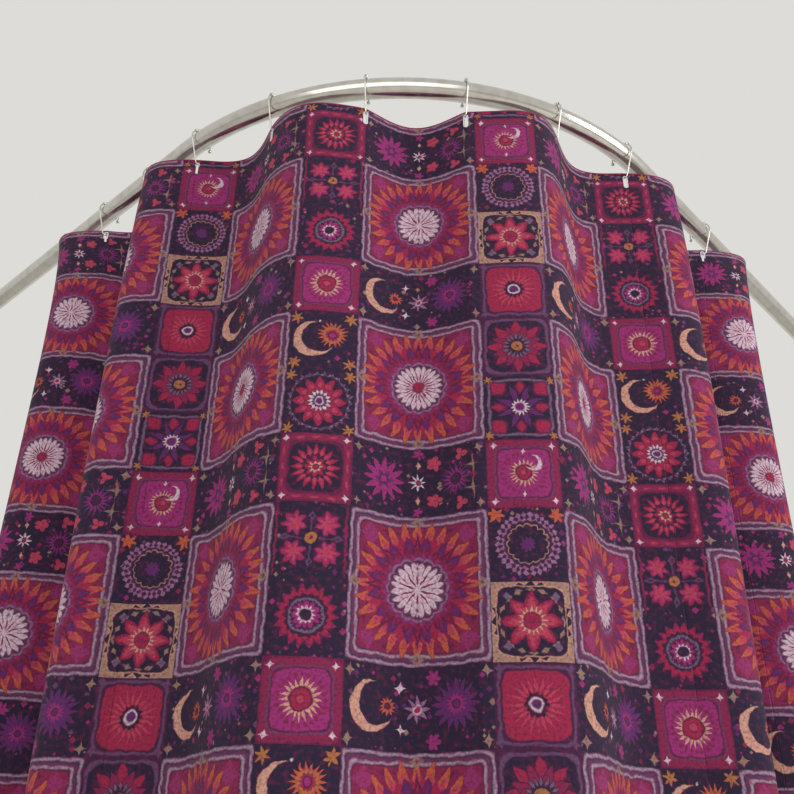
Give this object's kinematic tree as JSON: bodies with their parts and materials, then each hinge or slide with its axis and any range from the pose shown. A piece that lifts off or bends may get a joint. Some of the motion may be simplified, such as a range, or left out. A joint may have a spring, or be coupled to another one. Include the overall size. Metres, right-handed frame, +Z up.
{
  "type": "shower curtain",
  "caption": "Printed patchwork shower curtain on roller hooks, drawn in folds round a quarter-bend corner rod with a wall flange at each end.",
  "frame": {"origin": "centre of the left wall flange's wall face, at the height of the middle of the rod", "axes": "+Z up, +X across the front from the left wall flange to the right one, +Y into the corner, so the curtain's front faces -Y"},
  "size_m": [1.7706, 0.6899, 1.9523],
  "materials": {
    "rod_metal": "polished nickel-chrome",
    "flange_metal": "polished nickel-chrome",
    "screw_steel": "plain steel",
    "hook_steel": "bright wire",
    "bead_steel": "bright rolled beads",
    "white_thread": "satin-stitched thread",
    "printed_cloth": "matte woven polyester, printed on the front"
  },
  "bodies": {
    "rod_and_centre": {"curtain_rod": "rod_metal", "left_wall_flange": "flange_metal", "right_wall_flange": "flange_metal", "left_set_screw": "screw_steel", "right_set_screw": "screw_steel", "cloth_centre": "printed_cloth", "hook_wire_04": "hook_steel", "hook_beads_04": "bead_steel", "buttonhole_04": "white_thread", "hook_wire_05": "hook_steel", "hook_beads_05": "bead_steel", "buttonhole_05": "white_thread", "hook_wire_06": "hook_steel", "hook_beads_06": "bead_steel", "buttonhole_06": "white_thread", "hook_wire_07": "hook_steel", "hook_beads_07": "bead_steel", "buttonhole_07": "white_thread", "hook_wire_08": "hook_steel", "hook_beads_08": "bead_steel", "buttonhole_08": "white_thread", "hook_wire_09": "hook_steel", "hook_beads_09": "bead_steel", "buttonhole_09": "white_thread"},
    "left_carrier_inner": {"hook_wire_03": "hook_steel", "hook_beads_03": "bead_steel", "buttonhole_03": "white_thread", "cloth_left_inner": "printed_cloth"},
    "left_carrier_middle": {"hook_wire_02": "hook_steel", "hook_beads_02": "bead_steel", "buttonhole_02": "white_thread", "cloth_left_middle": "printed_cloth"},
    "left_carrier_end": {"hook_wire_01": "hook_steel", "hook_beads_01": "bead_steel", "buttonhole_01": "white_thread", "cloth_left_end": "printed_cloth"},
    "right_carrier_inner": {"hook_wire_10": "hook_steel", "hook_beads_10": "bead_steel", "buttonhole_10": "white_thread", "cloth_right_inner": "printed_cloth"},
    "right_carrier_middle": {"hook_wire_11": "hook_steel", "hook_beads_11": "bead_steel", "buttonhole_11": "white_thread", "cloth_right_middle": "printed_cloth"},
    "right_carrier_end": {"hook_wire_12": "hook_steel", "hook_beads_12": "bead_steel", "buttonhole_12": "white_thread", "cloth_right_end": "printed_cloth"}
  },
  "joints": [
    {"name": "left_inner_draw", "type": "slide", "parent": "rod_and_centre", "child": "left_carrier_inner", "axis": [0.7071, -0.7071, 0], "range_m": [-0.02, 0.059], "deforming": ["cloth_left_inner"]},
    {"name": "left_middle_draw", "type": "slide", "parent": "left_carrier_inner", "child": "left_carrier_middle", "axis": [0.7071, -0.7071, 0], "range_m": [-0.02, 0.059], "deforming": ["cloth_left_middle"]},
    {"name": "left_end_draw", "type": "slide", "parent": "left_carrier_middle", "child": "left_carrier_end", "axis": [0.7071, -0.7071, 0], "range_m": [-0.02, 0.059], "deforming": ["cloth_left_end"]},
    {"name": "right_inner_draw", "type": "slide", "parent": "rod_and_centre", "child": "right_carrier_inner", "axis": [-0.7071, -0.7071, 0], "range_m": [-0.02, 0.059], "deforming": ["cloth_right_inner"]},
    {"name": "right_middle_draw", "type": "slide", "parent": "right_carrier_inner", "child": "right_carrier_middle", "axis": [-0.7071, -0.7071, 0], "range_m": [-0.02, 0.059], "deforming": ["cloth_right_middle"]},
    {"name": "right_end_draw", "type": "slide", "parent": "right_carrier_middle", "child": "right_carrier_end", "axis": [-0.7071, -0.7071, 0], "range_m": [-0.02, 0.059], "deforming": ["cloth_right_end"]}
  ],
  "couplings": [
    {"joint": "left_middle_draw", "follows": "left_inner_draw", "ratio": 1},
    {"joint": "left_end_draw", "follows": "left_inner_draw", "ratio": 1},
    {"joint": "right_middle_draw", "follows": "right_inner_draw", "ratio": 1},
    {"joint": "right_end_draw", "follows": "right_inner_draw", "ratio": 1}
  ]
}
